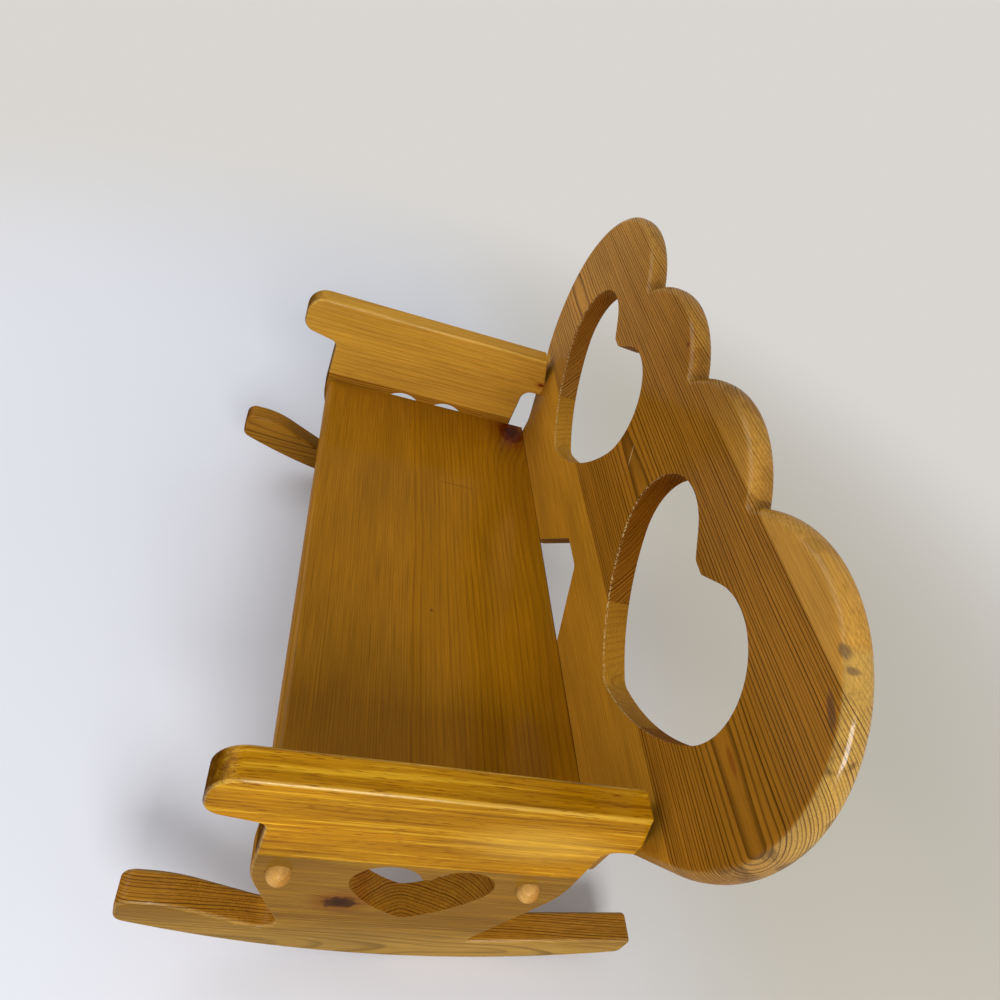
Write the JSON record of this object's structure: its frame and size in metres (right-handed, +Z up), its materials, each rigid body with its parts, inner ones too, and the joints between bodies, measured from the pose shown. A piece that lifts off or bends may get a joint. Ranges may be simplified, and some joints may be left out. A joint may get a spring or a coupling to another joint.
{
  "type": "rocking bench",
  "caption": "Small pine rocking bench with a scalloped back cut with hearts, nosed arms and heart-pierced end panels shaped into runners, for seating dolls or soft toys.",
  "frame": {"origin": "on the floor, under the middle of the bench's outer box, with the bench in the pose in which it comes to rest", "axes": "+X along the bench to the sitter's left, which is the right in a view of the front; -Y to the front, where the sitter faces; +Z up"},
  "size_m": [0.63, 0.3652, 0.4021],
  "materials": {
    "varnished_pine": "honey-coloured satin varnish over pine",
    "plug_wood": "satin varnish over pale hardwood",
    "screw_steel": "bright zinc plate"
  },
  "bodies": {
    "root": {"arm_plank_left": "varnished_pine", "arm_plank_right": "varnished_pine", "back_plank_lower": "varnished_pine", "back_plank_upper": "varnished_pine", "back_plug_arm_left": "plug_wood", "back_plug_arm_right": "plug_wood", "back_plug_seat_left": "plug_wood", "back_plug_seat_right": "plug_wood", "back_screw_arm_left": "screw_steel", "back_screw_arm_right": "screw_steel", "back_screw_seat_left": "screw_steel", "back_screw_seat_right": "screw_steel", "rocker_plank_left": "varnished_pine", "rocker_plank_right": "varnished_pine", "seat_plank_front": "varnished_pine", "seat_plank_rear": "varnished_pine", "side_plug_left_front": "plug_wood", "side_plug_left_rear": "plug_wood", "side_plug_right_front": "plug_wood", "side_plug_right_rear": "plug_wood", "side_screw_left_front": "screw_steel", "side_screw_left_rear": "screw_steel", "side_screw_right_front": "screw_steel", "side_screw_right_rear": "screw_steel"}
  },
  "joints": []
}
